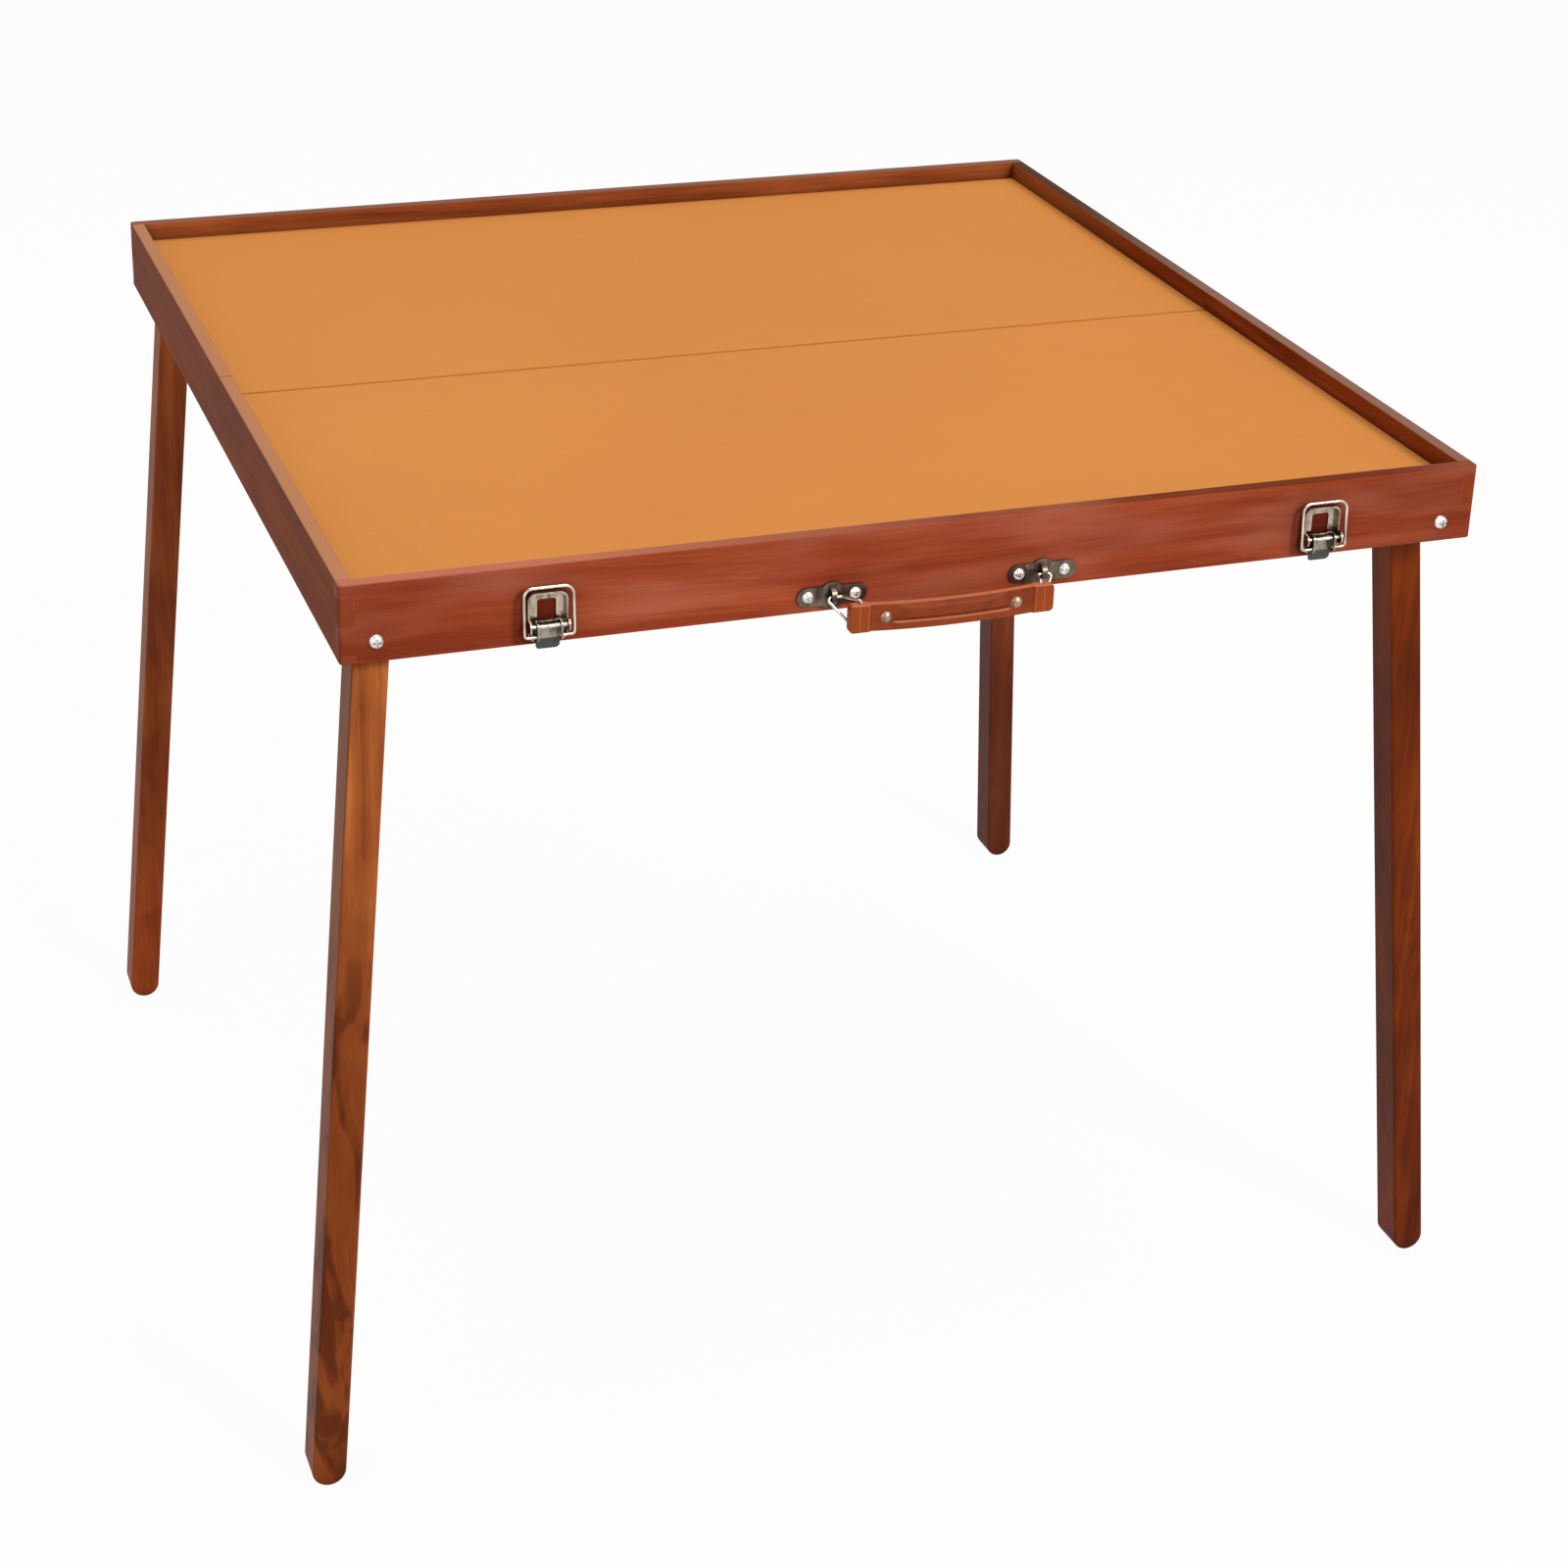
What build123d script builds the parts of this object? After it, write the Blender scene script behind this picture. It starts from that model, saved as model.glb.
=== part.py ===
"""Folding card table.

Two shallow wooden trays, hinged at the bottom of their shared seam, fold underside to underside
into a carrying case. Each tray stores two legs that swing on bolts through its long board.
X runs along the boards that carry the latches and the handle, Y from front to rear, Z up.
All lengths are in millimetres.
"""
import os
from math import asin, cos, degrees, radians, sin, sqrt

from build123d import *

os.makedirs("parts", exist_ok=True)

# Overall sizes
table_width = 860.0
table_depth = 860.0
table_height = 742.0

# Boards of a tray
apron_height = 58.0
board_thickness = 11.0
finger_edges_share = (0.0, 0.11, 0.47, 0.83, 1.0)
corner_radius = 3.0
rim_outer_radius = 1.6
rim_inner_radius = 1.0
foot_edge_radius = 1.0
middle_rail_thickness = 20.0
dado_depth = 3.0

# Playing surface
surface_recess = 15.7
facing_thickness = 1.2
facing_edge_radius = 0.8
panel_thickness = 5.0
panel_groove_depth = 4.0

# Gaps between the two trays
seam_gap = 0.6
closing_gap = 0.3

# Legs
leg_thickness = 26.0
leg_width = 32.0
leg_edge_radius = 2.5
leg_pivot_height = 15.0
leg_stop_clearance = 0.3
leg_lane_gap = 7.0
leg_splay = {"front_left": 4.0, "front_right": 7.2, "rear_left": 5.2, "rear_right": 2.6}
spacer_length = 40.0

# Leg bolts, nuts and washers
bolt_radius = 3.0
bolt_hole_clearance = 0.1
pivot_clearance = 0.06
bolt_head_radius = 5.6
bolt_head_height = 3.9
bolt_slot_length = 6.2
bolt_slot_width = 1.3
bolt_slot_depth = 1.5
bolt_end_length = 2.0
nut_across_flats = 10.0
nut_thickness = 5.0
washer_radius = 7.5
washer_thickness = 1.2
washer_gap = 0.2

# Hinges of the seam
hinge_places_share = (-0.31, 0.0, 0.31)
hinge_length = 60.0
leaf_width = 17.0
leaf_thickness = 1.5
leaf_corner_radius = 2.0
knuckle_radius = 3.0
knuckle_count = 5
knuckle_gap = 0.2
knuckle_clearance = 0.4
hinge_pin_radius = 1.3
hinge_pin_clearance = 0.05
hinge_pin_head_radius = 2.2
hinge_pin_head_height = 0.8

# Wood screws with a conical head
screw_places_share = (-0.36, 0.0, 0.36)
leaf_screw_edge = 6.5
screw_head_radius = 2.4
screw_head_height = 1.2
screw_shank_radius = 1.2
screw_length = 11.0

# Latch base: a pressed pan with two ears
latch_end_distance = {"left": 143.0, "right": 129.0}
pan_width = 28.5
pan_height = 35.5
pan_lift = 4.0
pan_depth = 5.5
pan_corner_radius = 6.0
sheet_thickness = 1.2
window_width = 13.5
window_height = 15.5
window_radius = 2.0
window_top_margin = 6.0
ear_radius = 4.5
latch_axis_out = 8.0
latch_axis_up = 16.0
latch_pin_radius = 1.5
latch_pin_clearance = 0.08
pan_screw_inset = 4.0
pan_screw_radius = 1.9
pan_screw_height = 0.9
pan_screw_length = 7.0

# Latch lever: a channel whose end is curled into a finger tab
lever_width = 18.0
lever_plate_offset = 4.0
lever_top = 3.2
lever_cheek_front = 3.6
lever_cheek_radius = 3.0
lever_body_length = 10.5
lever_tab_length = 8.0
lever_tab_curl = 2.0
lever_tab_corner = 3.0
lever_notch_gap = 1.0
lever_swing = 165.0
bail_eye_distance = 7.0
bail_eye_angle = 12.0

# Latch bail: bent wire
bail_wire_radius = 1.1
bail_reach = 35.0
bail_side_gap = 2.2
bail_top_radius = 6.5
bail_eye_radius = 2.4
bail_end_inside = 0.6
bail_rest_gap = 0.3

# Latch strike: a plate with a hook
strike_width = 22.0
strike_height = 19.0
strike_lift = 7.0
strike_corner_radius = 3.0
strike_hook_width = 20.0
strike_wire_out = 3.6
strike_wire_gap = 0.45
strike_lip_height = 3.6
strike_screw_spread = 12.0
strike_screw_below_top = 3.8

# Handle brackets
bracket_lead = 12.0
bracket_up = 12.0
bracket_length = 52.0
bracket_height = 14.0
bracket_disc_radius = 10.0
bracket_thickness = 1.5
bracket_screw_spread = 35.3
bracket_screw_radius = 4.4
bracket_screw_height = 2.6
bracket_screw_length = 9.0
bracket_slot_length = 4.4
bracket_slot_width = 0.9
bracket_slot_depth = 1.1
saddle_width = 3.6
saddle_clearance = 0.35
saddle_thickness = 1.2

# Handle rings: bent wire
ring_wire_radius = 1.1
ring_axis_out = 5.0
ring_run = 12.5
ring_corner_radius = 2.2
ring_base_margin = 2.4

# Leather handle
handle_length = 155.0
handle_width = 21.0
handle_thickness = 4.6
handle_corner_radius = 3.5
handle_loop_length = 15.0
handle_loop_thickness = 7.4
handle_ring_inset = 9.5
handle_out = 20.0
handle_rise = 1.0
handle_side_shift = 3.0
handle_sag = 2.2
handle_edge_radius = 1.4
handle_ring_clearance = 0.15
rivet_loop_gap = 13.0
welt_width = 9.0
welt_height = 4.0
rivet_radius = 4.4
rivet_height = 2.2

# Worked-out places shared by several pieces
half_width = table_width / 2
half_depth = table_depth / 2
tray_bottom = table_height - apron_height
pivot_up = tray_bottom + leg_pivot_height
hinge_axis_up = tray_bottom - closing_gap / 2
surface_up = table_height - surface_recess
panel_top = surface_up - facing_thickness
panel_bottom = panel_top - panel_thickness
seam_edge = -seam_gap / 2
inner_half_width = half_width - board_thickness
inner_front = -half_depth + board_thickness
foot_radius = leg_thickness / 2
latch_places = {
    "left": latch_end_distance["left"] - half_width,
    "right": half_width - latch_end_distance["right"],
}
ring_base = handle_length / 2 - handle_ring_inset
welt_length = handle_length - 2 * (handle_loop_length + rivet_loop_gap)
bracket_offset = ring_base + bracket_lead
cut_overrun = 1.0

parts = {}


def span_box(low, high):
    """A box between two opposite corners."""
    size = [b - a for a, b in zip(low, high)]
    middle = [(a + b) / 2 for a, b in zip(low, high)]
    return Pos(*middle) * Box(*size)


def group(solids):
    """Several separate solids in one node."""
    return Compound([solid for item in solids for solid in item.solids()])


def along_y(x, y, z):
    """A place on the front face of the front board, with local Z pointing into the table."""
    return Pos(x, y, z) * Rot(-90, 0, 0)


rear_turn = Rot(0, 0, 180)

# Leg places: the pivot stands off the end board so that the splayed leg rests on its bottom edge
outer_lane = half_depth - board_thickness - washer_thickness - washer_gap - leg_width / 2
inner_lane = outer_lane - leg_width - leg_lane_gap
spacer_thickness = outer_lane - inner_lane


def pivot_inset(splay):
    """Distance of a leg's pivot from the end of the table."""
    lean = radians(splay)
    stop = (foot_radius + leg_pivot_height * sin(lean)) / cos(lean)
    return board_thickness + leg_stop_clearance + stop


def leg_place(name):
    """Signs of the corner and the lane that the leg swings in."""
    side = -1 if name.endswith("left") else 1
    end = -1 if name.startswith("front") else 1
    lane = outer_lane if side == end else inner_lane
    return side, end, lane


# Tray boards
def rim_shape():
    """The three rim boards of the front tray as one shape with its rounded edges."""
    tray_depth = half_depth + seam_edge
    outline = Pos(0, -half_depth + tray_depth / 2) * Rectangle(table_width, tray_depth)
    outline = fillet(outline.vertices().group_by(Axis.Y)[0], corner_radius)
    pocket_depth = half_depth - board_thickness
    pocket = Pos(0, inner_front + pocket_depth / 2) * Rectangle(2 * inner_half_width, pocket_depth)
    rim = extrude(Pos(0, 0, tray_bottom) * (outline - pocket), amount=apron_height)

    def is_outer(edge):
        spot = edge.center()
        beside = abs(spot.X) > half_width - board_thickness / 2
        before = spot.Y < -half_depth + board_thickness / 2
        return beside or before

    def off_seam(edge):
        box = edge.bounding_box()
        return box.min.Y < seam_edge - board_thickness / 2

    top = [edge for edge in rim.edges().group_by(Axis.Z)[-1] if off_seam(edge)]
    rim = fillet([edge for edge in top if is_outer(edge)], rim_outer_radius)
    top = [edge for edge in rim.edges().group_by(Axis.Z)[-1] if off_seam(edge)]
    inner = [edge for edge in top if not is_outer_line(edge)]
    rim = fillet(inner, rim_inner_radius)
    bottom = [edge for edge in rim.edges().group_by(Axis.Z)[0] if off_seam(edge)]
    return fillet([edge for edge in bottom if is_outer(edge)], foot_edge_radius)


def is_outer_line(edge):
    """True for an edge of the rim's top face that follows the outside of the tray."""
    spot = edge.center()
    outside = half_width - (board_thickness + rim_outer_radius) / 2
    before = -half_depth + (board_thickness + rim_outer_radius) / 2
    return abs(spot.X) > outside or spot.Y < before


def finger_slots(x_low, x_high, y_low, y_high, odd):
    """Boxes that take every second finger out of a board's end."""
    edges = [tray_bottom + share * apron_height for share in finger_edges_share]
    fingers = list(zip(edges, edges[1:]))
    first = 1 if odd else 0
    return [span_box((x_low, y_low, low), (x_high, y_high, high)) for low, high in fingers[first::2]]


def make_tray(outer_name, inner_name):
    """The wooden pieces of a tray, in the front tray's place."""
    rim = rim_shape()
    panel_side = inner_half_width + panel_groove_depth
    panel = span_box(
        (-panel_side, inner_front - panel_groove_depth, panel_bottom),
        (panel_side, seam_edge, panel_top),
    )
    facing = span_box(
        (-inner_half_width, inner_front, panel_top), (inner_half_width, seam_edge, surface_up)
    )
    seam_line = facing.edges().group_by(Axis.Z)[-1].sort_by(Axis.Y)[-1]
    facing = fillet(seam_line, facing_edge_radius)
    rail_side = inner_half_width + dado_depth
    rail = span_box(
        (-rail_side, seam_edge - middle_rail_thickness, tray_bottom),
        (rail_side, seam_edge, panel_bottom),
    )

    apron = rim & span_box(
        (-half_width, -half_depth, tray_bottom), (half_width, inner_front, table_height)
    )
    for side in (-1, 1):
        low, high = sorted((side * inner_half_width, side * (half_width + cut_overrun)))
        apron -= finger_slots(low, high, -half_depth - cut_overrun, inner_front, False)
    apron -= panel

    sides = {}
    for side, word in ((-1, "left"), (1, "right")):
        low, high = sorted((side * inner_half_width, side * half_width))
        board = rim & span_box((low, -half_depth, tray_bottom), (high, seam_edge, table_height))
        board -= finger_slots(low, high, -half_depth, inner_front, True)
        sides[word] = board - panel - rail

    spacer_end = inner_half_width
    spacer = span_box(
        (spacer_end - spacer_length, inner_front, tray_bottom),
        (spacer_end, inner_front + spacer_thickness, panel_bottom),
    )
    hole_radius = bolt_radius + bolt_hole_clearance
    hole_length = board_thickness + spacer_thickness + cut_overrun
    for name, side in ((outer_name, -1), (inner_name, 1)):
        x = side * (half_width - pivot_inset(leg_splay[name]))
        hole = Cylinder(hole_radius, 2 * hole_length)
        hole = along_y(x, -half_depth, pivot_up) * hole
        apron -= hole
        spacer -= hole
    return {
        "apron": apron,
        "left_side": sides["left"],
        "right_side": sides["right"],
        "middle_rail": rail,
        "panel": panel,
        "playing_surface": facing,
        "leg_spacer": spacer,
    }


# Leg bolts, washers and nuts
def bolt_shape(length):
    """A dome-headed bolt: the head's seat at the origin, the shank along +Z."""
    head_ball = (bolt_head_radius**2 + bolt_head_height**2) / (2 * bolt_head_height)
    ball = Pos(0, 0, head_ball - bolt_head_height) * Sphere(head_ball)
    blank = Pos(0, 0, -bolt_head_height / 2) * Cylinder(bolt_head_radius, bolt_head_height)
    head = ball & blank
    slot_middle = -bolt_head_height + bolt_slot_depth / 2
    slot = Pos(0, 0, slot_middle) * Box(bolt_slot_length, bolt_slot_width, bolt_slot_depth)
    head -= [slot, Rot(0, 0, 90) * slot]
    return head + Pos(0, 0, length / 2) * Cylinder(bolt_radius, length)


def washer_shape(start):
    """A flat washer whose outer face lies at start along the bolt."""
    ring = Cylinder(washer_radius, washer_thickness)
    ring -= Cylinder(bolt_radius + bolt_hole_clearance, washer_thickness)
    return Pos(0, 0, start + washer_thickness / 2) * ring


def nut_shape(start):
    """A hexagon nut that starts at start along the bolt."""
    profile = RegularPolygon(nut_across_flats / 2, 6, major_radius=False) - Circle(bolt_radius)
    return Pos(0, 0, start) * extrude(profile, amount=nut_thickness)


def leg_fixings(name):
    """Bolt, two washers and nut of one leg, in the front tray's place."""
    side, end, lane = leg_place(name)
    x = -side * end * (half_width - pivot_inset(leg_splay[name]))
    outer_washer = half_depth - lane - leg_width / 2 - washer_gap - washer_thickness
    inner_washer = half_depth - lane + leg_width / 2 + washer_gap
    nut_start = inner_washer + washer_thickness
    place = along_y(x, -half_depth, pivot_up)
    bolt = bolt_shape(nut_start + nut_thickness + bolt_end_length)
    washers = [washer_shape(outer_washer), washer_shape(inner_washer)]
    return place * bolt, [place * washer for washer in washers], place * nut_shape(nut_start)


# Legs
def leg_shape(name):
    """A square-edged leg with round ends, hung from its pivot and splayed to the floor."""
    side, end, lane = leg_place(name)
    lean = radians(leg_splay[name])
    reach = (pivot_up - foot_radius) / cos(lean)
    outline = Pos(0, -reach / 2) * Rot(0, 0, 90) * SlotCenterToCenter(reach, leg_thickness)
    leg = extrude(Plane.XZ * outline, amount=leg_width / 2, both=True)
    rims = leg.edges().group_by(Axis.Y)
    leg = fillet(rims[0] + rims[-1], leg_edge_radius)
    leg -= Rot(90, 0, 0) * Cylinder(bolt_radius + pivot_clearance, leg_width + cut_overrun)
    x = side * (half_width - pivot_inset(leg_splay[name]))
    return Pos(x, end * lane, pivot_up) * Rot(0, -side * leg_splay[name], 0) * leg


# Seam hinges
def screw_shape(head_radius, head_height, length):
    """A wood screw: its flat head face at the origin, the shank along +Z."""
    head = Pos(0, 0, head_height / 2) * Cone(head_radius, screw_shank_radius, head_height)
    shank_length = length - screw_shank_radius * 2
    shank = Pos(0, 0, shank_length / 2) * Cylinder(screw_shank_radius, shank_length)
    tip_middle = shank_length + screw_shank_radius
    tip = Pos(0, 0, tip_middle) * Cone(screw_shank_radius, screw_shank_radius / 4, 2 * screw_shank_radius)
    return head + shank + tip


def leaf_shape(first_knuckle):
    """A hinge leaf towards -Y with every second knuckle, its pin on the X axis."""
    pitch = hinge_length / knuckle_count
    plate_low = closing_gap / 2
    plate = Pos(0, -leaf_width / 2) * Rectangle(hinge_length, leaf_width)
    plate = fillet(plate.vertices().group_by(Axis.Y)[0], leaf_corner_radius)
    leaf = extrude(Pos(0, 0, plate_low) * plate, amount=leaf_thickness)
    clear = knuckle_radius + knuckle_clearance
    for index in range(knuckle_count):
        middle = index * pitch + (pitch - hinge_length) / 2
        if index % 2 == first_knuckle:
            barrel = Cylinder(knuckle_radius, pitch - knuckle_gap)
            leaf += Pos(middle, 0, 0) * Rot(0, 90, 0) * barrel
        else:
            width = pitch + knuckle_gap
            leaf -= Pos(middle, 0, plate_low) * Box(width, 2 * clear, 2 * clear)
    bore = hinge_pin_radius + (hinge_pin_clearance if first_knuckle else 0)
    leaf -= Rot(0, 90, 0) * Cylinder(bore, hinge_length + cut_overrun)
    for screw in leaf_screws():
        leaf -= screw
    return leaf


def leaf_screws():
    """The screws of a leaf, their heads flush with its lower face."""
    y = -leaf_width + leaf_screw_edge
    place = closing_gap / 2
    shape = screw_shape(screw_head_radius, screw_head_height, screw_length)
    return [Pos(share * hinge_length, y, place) * shape for share in screw_places_share]


def rail_cut():
    """What a hinge takes out of a middle rail: the leaf's mortise and the knuckles' groove."""
    mortise = span_box(
        (-hinge_length / 2, -leaf_width, -knuckle_radius),
        (hinge_length / 2, cut_overrun, closing_gap / 2 + leaf_thickness),
    )
    groove_length = hinge_length + 2 * (hinge_pin_head_height + knuckle_clearance)
    groove = Rot(0, 90, 0) * Cylinder(knuckle_radius + knuckle_clearance, groove_length)
    return mortise + groove


def hinge_pin_shape():
    """A hinge pin with a small head at each end."""
    pin = Cylinder(hinge_pin_radius, hinge_length)
    head = Cylinder(hinge_pin_head_radius, hinge_pin_head_height)
    offset = (hinge_length + hinge_pin_head_height) / 2
    pin += [Pos(0, 0, offset) * head, Pos(0, 0, -offset) * head]
    return Rot(0, 90, 0) * pin


hinge_places = [Pos(share * table_width, 0, hinge_axis_up) for share in hinge_places_share]

# Latches: local Y points out of the board, local Z is measured from the tray's bottom edge
latch_eye_out = latch_axis_out + bail_eye_distance * sin(radians(bail_eye_angle))
latch_eye_up = latch_axis_up - bail_eye_distance * cos(radians(bail_eye_angle))
bail_half_width = pan_width / 2 + bail_side_gap + bail_wire_radius
bail_top_out = pan_depth + bail_rest_gap + bail_wire_radius
bail_rest_lean = degrees(asin((latch_eye_out - bail_top_out) / bail_reach))
lever_half = lever_width / 2
latched_angle = radians(bail_eye_angle + lever_swing)
latched_eye_out = latch_axis_out + bail_eye_distance * sin(latched_angle)
latched_eye_up = latch_axis_up - bail_eye_distance * cos(latched_angle)
latched_drop = sqrt(bail_reach**2 - (latched_eye_out - strike_wire_out) ** 2)
strike_wire_height = latched_drop - latched_eye_up - closing_gap


def pan_shape():
    """Latch base: a pan with a rim, a window, two ears and a notch for the lever."""
    middle_up = pan_lift + pan_height / 2
    outline = RectangleRounded(pan_width, pan_height, pan_corner_radius)
    inner_radius = pan_corner_radius - sheet_thickness
    inner_width = pan_width - 2 * sheet_thickness
    inner_height = pan_height - 2 * sheet_thickness
    hollow = RectangleRounded(inner_width, inner_height, inner_radius)
    front = Plane.XZ
    pan = extrude(front * outline, amount=-pan_depth)
    pan -= extrude(front.offset(-sheet_thickness) * hollow, amount=-pan_depth)
    window_middle = pan_height / 2 - window_top_margin - window_height / 2
    window = Pos(0, window_middle) * RectangleRounded(window_width, window_height, window_radius)
    pan -= extrude(front * window, amount=-pan_depth)
    pan = Pos(0, 0, middle_up) * pan
    axis = Pos(0, latch_axis_out, latch_axis_up)
    blade = span_box(
        (-pan_width / 2, pan_depth / 2, latch_axis_up - ear_radius),
        (pan_width / 2, latch_axis_out, latch_axis_up + ear_radius),
    )
    ears = blade + axis * Rot(0, 90, 0) * Cylinder(ear_radius, pan_width)
    ears -= span_box(
        (-inner_width / 2, 0, latch_axis_up - pan_height),
        (inner_width / 2, latch_axis_out + 2 * ear_radius, latch_axis_up + pan_height),
    )
    pan += ears
    notch = lever_half + lever_notch_gap
    pan -= span_box((-notch, sheet_thickness, 0), (notch, pan_depth, pan_lift + 2 * sheet_thickness))
    pan -= axis * Rot(0, 90, 0) * Cylinder(latch_pin_radius, pan_width)
    for screw in pan_screws():
        pan -= screw
    return pan


def pan_screws():
    """The four small screws in the corners of the latch base."""
    shape = screw_shape(pan_screw_radius, pan_screw_height, pan_screw_length)
    half = pan_width / 2 - pan_screw_inset
    rows = (pan_lift + pan_screw_inset + sheet_thickness, pan_lift + pan_height - pan_screw_inset)
    place = Rot(90, 0, 0)
    spots = [(x, z) for x in (-half, half) for z in rows]
    return [Pos(x, sheet_thickness, z) * place * shape for x, z in spots]


def latch_pin_shape():
    """The pin between the ears."""
    return Pos(0, latch_axis_out, latch_axis_up) * Rot(0, 90, 0) * Cylinder(latch_pin_radius, pan_width)


def lever_shape():
    """Latch lever, hanging open: a channel with a curled finger tab, its pivot at the origin."""
    back = -lever_plate_offset
    front = back + sheet_thickness
    bend_up = -lever_body_length
    tip_up = bend_up - lever_tab_length
    tab_mid = (bend_up + tip_up) / 2
    bulge = lever_tab_curl / 4
    with BuildSketch(Plane.YZ) as profile:
        with BuildLine():
            outer = Polyline((front, bend_up), (front, lever_top), (back, lever_top), (back, bend_up))
            curl_back = ThreePointArc(
                (back, bend_up), (back - bulge, tab_mid), (back - lever_tab_curl, tip_up)
            )
            tip = Line(curl_back @ 1, (front - lever_tab_curl, tip_up))
            ThreePointArc(tip @ 1, (front - bulge, tab_mid), outer @ 0)
        make_face()
    plate = extrude(profile.sketch, amount=lever_half, both=True)
    tab_width = lever_width - sheet_thickness
    tab_height = lever_tab_length + lever_tab_corner
    trim = RectangleRounded(tab_width, tab_height, lever_tab_corner)
    trim = Pos(0, tip_up + tab_height / 2) * trim
    trim += Pos(0, (bend_up + lever_top) / 2) * Rectangle(lever_width, lever_top - bend_up)
    keep = extrude(Plane.XZ * trim, amount=lever_plate_offset + lever_tab_curl, both=True)
    plate = plate & keep
    cheek_height = lever_top - bend_up
    cheek_depth = lever_cheek_front - back
    cheek = RectangleRounded(cheek_depth, cheek_height, lever_cheek_radius)
    cheek = Pos((lever_cheek_front + back) / 2, (lever_top + bend_up) / 2) * cheek
    cheek += Pos(back + lever_cheek_radius / 2, (lever_top + bend_up) / 2) * Rectangle(
        lever_cheek_radius, cheek_height
    )
    cheeks = extrude(Plane.YZ * cheek, amount=lever_half, both=True)
    inside = lever_half - sheet_thickness
    cheeks -= span_box((-inside, front, 2 * bend_up), (inside, -2 * back, 2 * lever_top))
    lever = plate + cheeks
    pivot = Rot(0, 90, 0) * Cylinder(latch_pin_radius + latch_pin_clearance, lever_width + cut_overrun)
    eye = Rot(0, 90, 0) * Cylinder(bail_wire_radius + latch_pin_clearance, lever_width + cut_overrun)
    eye_place = Pos(0, latch_eye_out - latch_axis_out, latch_eye_up - latch_axis_up)
    return lever - pivot - eye_place * eye


def bail_shape():
    """Latch bail: a wire loop that stands on its eye, its ends turned into the lever."""
    end = lever_half - sheet_thickness - bail_end_inside
    points = [
        (-end, 0, 0),
        (-bail_half_width, 0, 0),
        (-bail_half_width, 0, bail_reach),
        (bail_half_width, 0, bail_reach),
        (bail_half_width, 0, 0),
        (end, 0, 0),
    ]
    radii = [bail_eye_radius, bail_top_radius, bail_top_radius, bail_eye_radius]
    path = FilletPolyline(*points, radius=radii)
    section = Plane(origin=path @ 0, z_dir=path % 0) * Circle(bail_wire_radius)
    return sweep(section, path=path)


def strike_shape():
    """Latch strike: a plate with a hook that opens away from the tray's bottom edge."""
    outline = RectangleRounded(strike_width, strike_height, strike_corner_radius)
    plate = extrude(Plane.XZ * outline, amount=-sheet_thickness)
    plate = Pos(0, 0, strike_lift + strike_height / 2) * plate
    shelf_top = strike_wire_height - bail_wire_radius - strike_wire_gap
    shelf_low = shelf_top - sheet_thickness
    lip_in = strike_wire_out + bail_wire_radius + strike_wire_gap
    lip_out = lip_in + sheet_thickness
    half = strike_hook_width / 2
    hook = span_box((-half, 0, shelf_low), (half, lip_out, shelf_top))
    hook += span_box((-half, lip_in, shelf_low), (half, lip_out, shelf_top + strike_lip_height))
    corner = hook.edges().filter_by(Axis.X).group_by(Axis.Z)[0].sort_by(Axis.Y)[-1]
    hook = fillet(corner, sheet_thickness)
    strike = plate + hook
    for screw in strike_screws():
        strike -= screw
    return strike


def strike_screws():
    """The two screws of a strike."""
    shape = screw_shape(pan_screw_radius, pan_screw_height, pan_screw_length)
    z = strike_lift + strike_height - strike_screw_below_top
    spots = (-strike_screw_spread / 2, strike_screw_spread / 2)
    return [Pos(x, sheet_thickness, z) * Rot(90, 0, 0) * shape for x in spots]


# Handle brackets, in the same local frame as the latches
saddle_inner_radius = ring_axis_out - bracket_thickness / 2 + ring_wire_radius + saddle_clearance


def bracket_shape():
    """A plate with round ends and a raised saddle that holds the handle's ring."""
    bar = SlotOverall(bracket_length, bracket_height) + Circle(bracket_disc_radius)
    plate = extrude(Plane.XZ * bar, amount=-bracket_thickness)
    outer = saddle_inner_radius + saddle_thickness
    hoop = Cylinder(outer, saddle_width) - Cylinder(saddle_inner_radius, saddle_width)
    hoop = Pos(0, bracket_thickness / 2, 0) * Rot(0, 90, 0) * hoop
    hoop &= span_box((-saddle_width, bracket_thickness / 2, -outer), (saddle_width, 2 * outer, outer))
    bracket = plate + hoop
    for screw in bracket_screws():
        bracket -= screw
    return bracket


def bracket_screws():
    """Two dome-headed screws, their heads on the plate."""
    ball = (bracket_screw_radius**2 + bracket_screw_height**2) / (2 * bracket_screw_height)
    head = Pos(0, 0, ball - bracket_screw_height) * Sphere(ball)
    blank = Cylinder(bracket_screw_radius, bracket_screw_height)
    head &= Pos(0, 0, -bracket_screw_height / 2) * blank
    slot = Box(bracket_slot_length, bracket_slot_width, bracket_slot_depth)
    slot = Pos(0, 0, bracket_slot_depth / 2 - bracket_screw_height) * slot
    head -= [slot, Rot(0, 0, 90) * slot]
    shank = Cylinder(screw_shank_radius, bracket_screw_length)
    screw = head + Pos(0, 0, bracket_screw_length / 2) * shank
    spots = (-bracket_screw_spread / 2, bracket_screw_spread / 2)
    return [Pos(x, bracket_thickness, 0) * Rot(90, 0, 0) * screw for x in spots]


# Leather handle and its rings, in the latches' local frame with X along the table
ring_half = handle_width / 2 + ring_base_margin


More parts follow.
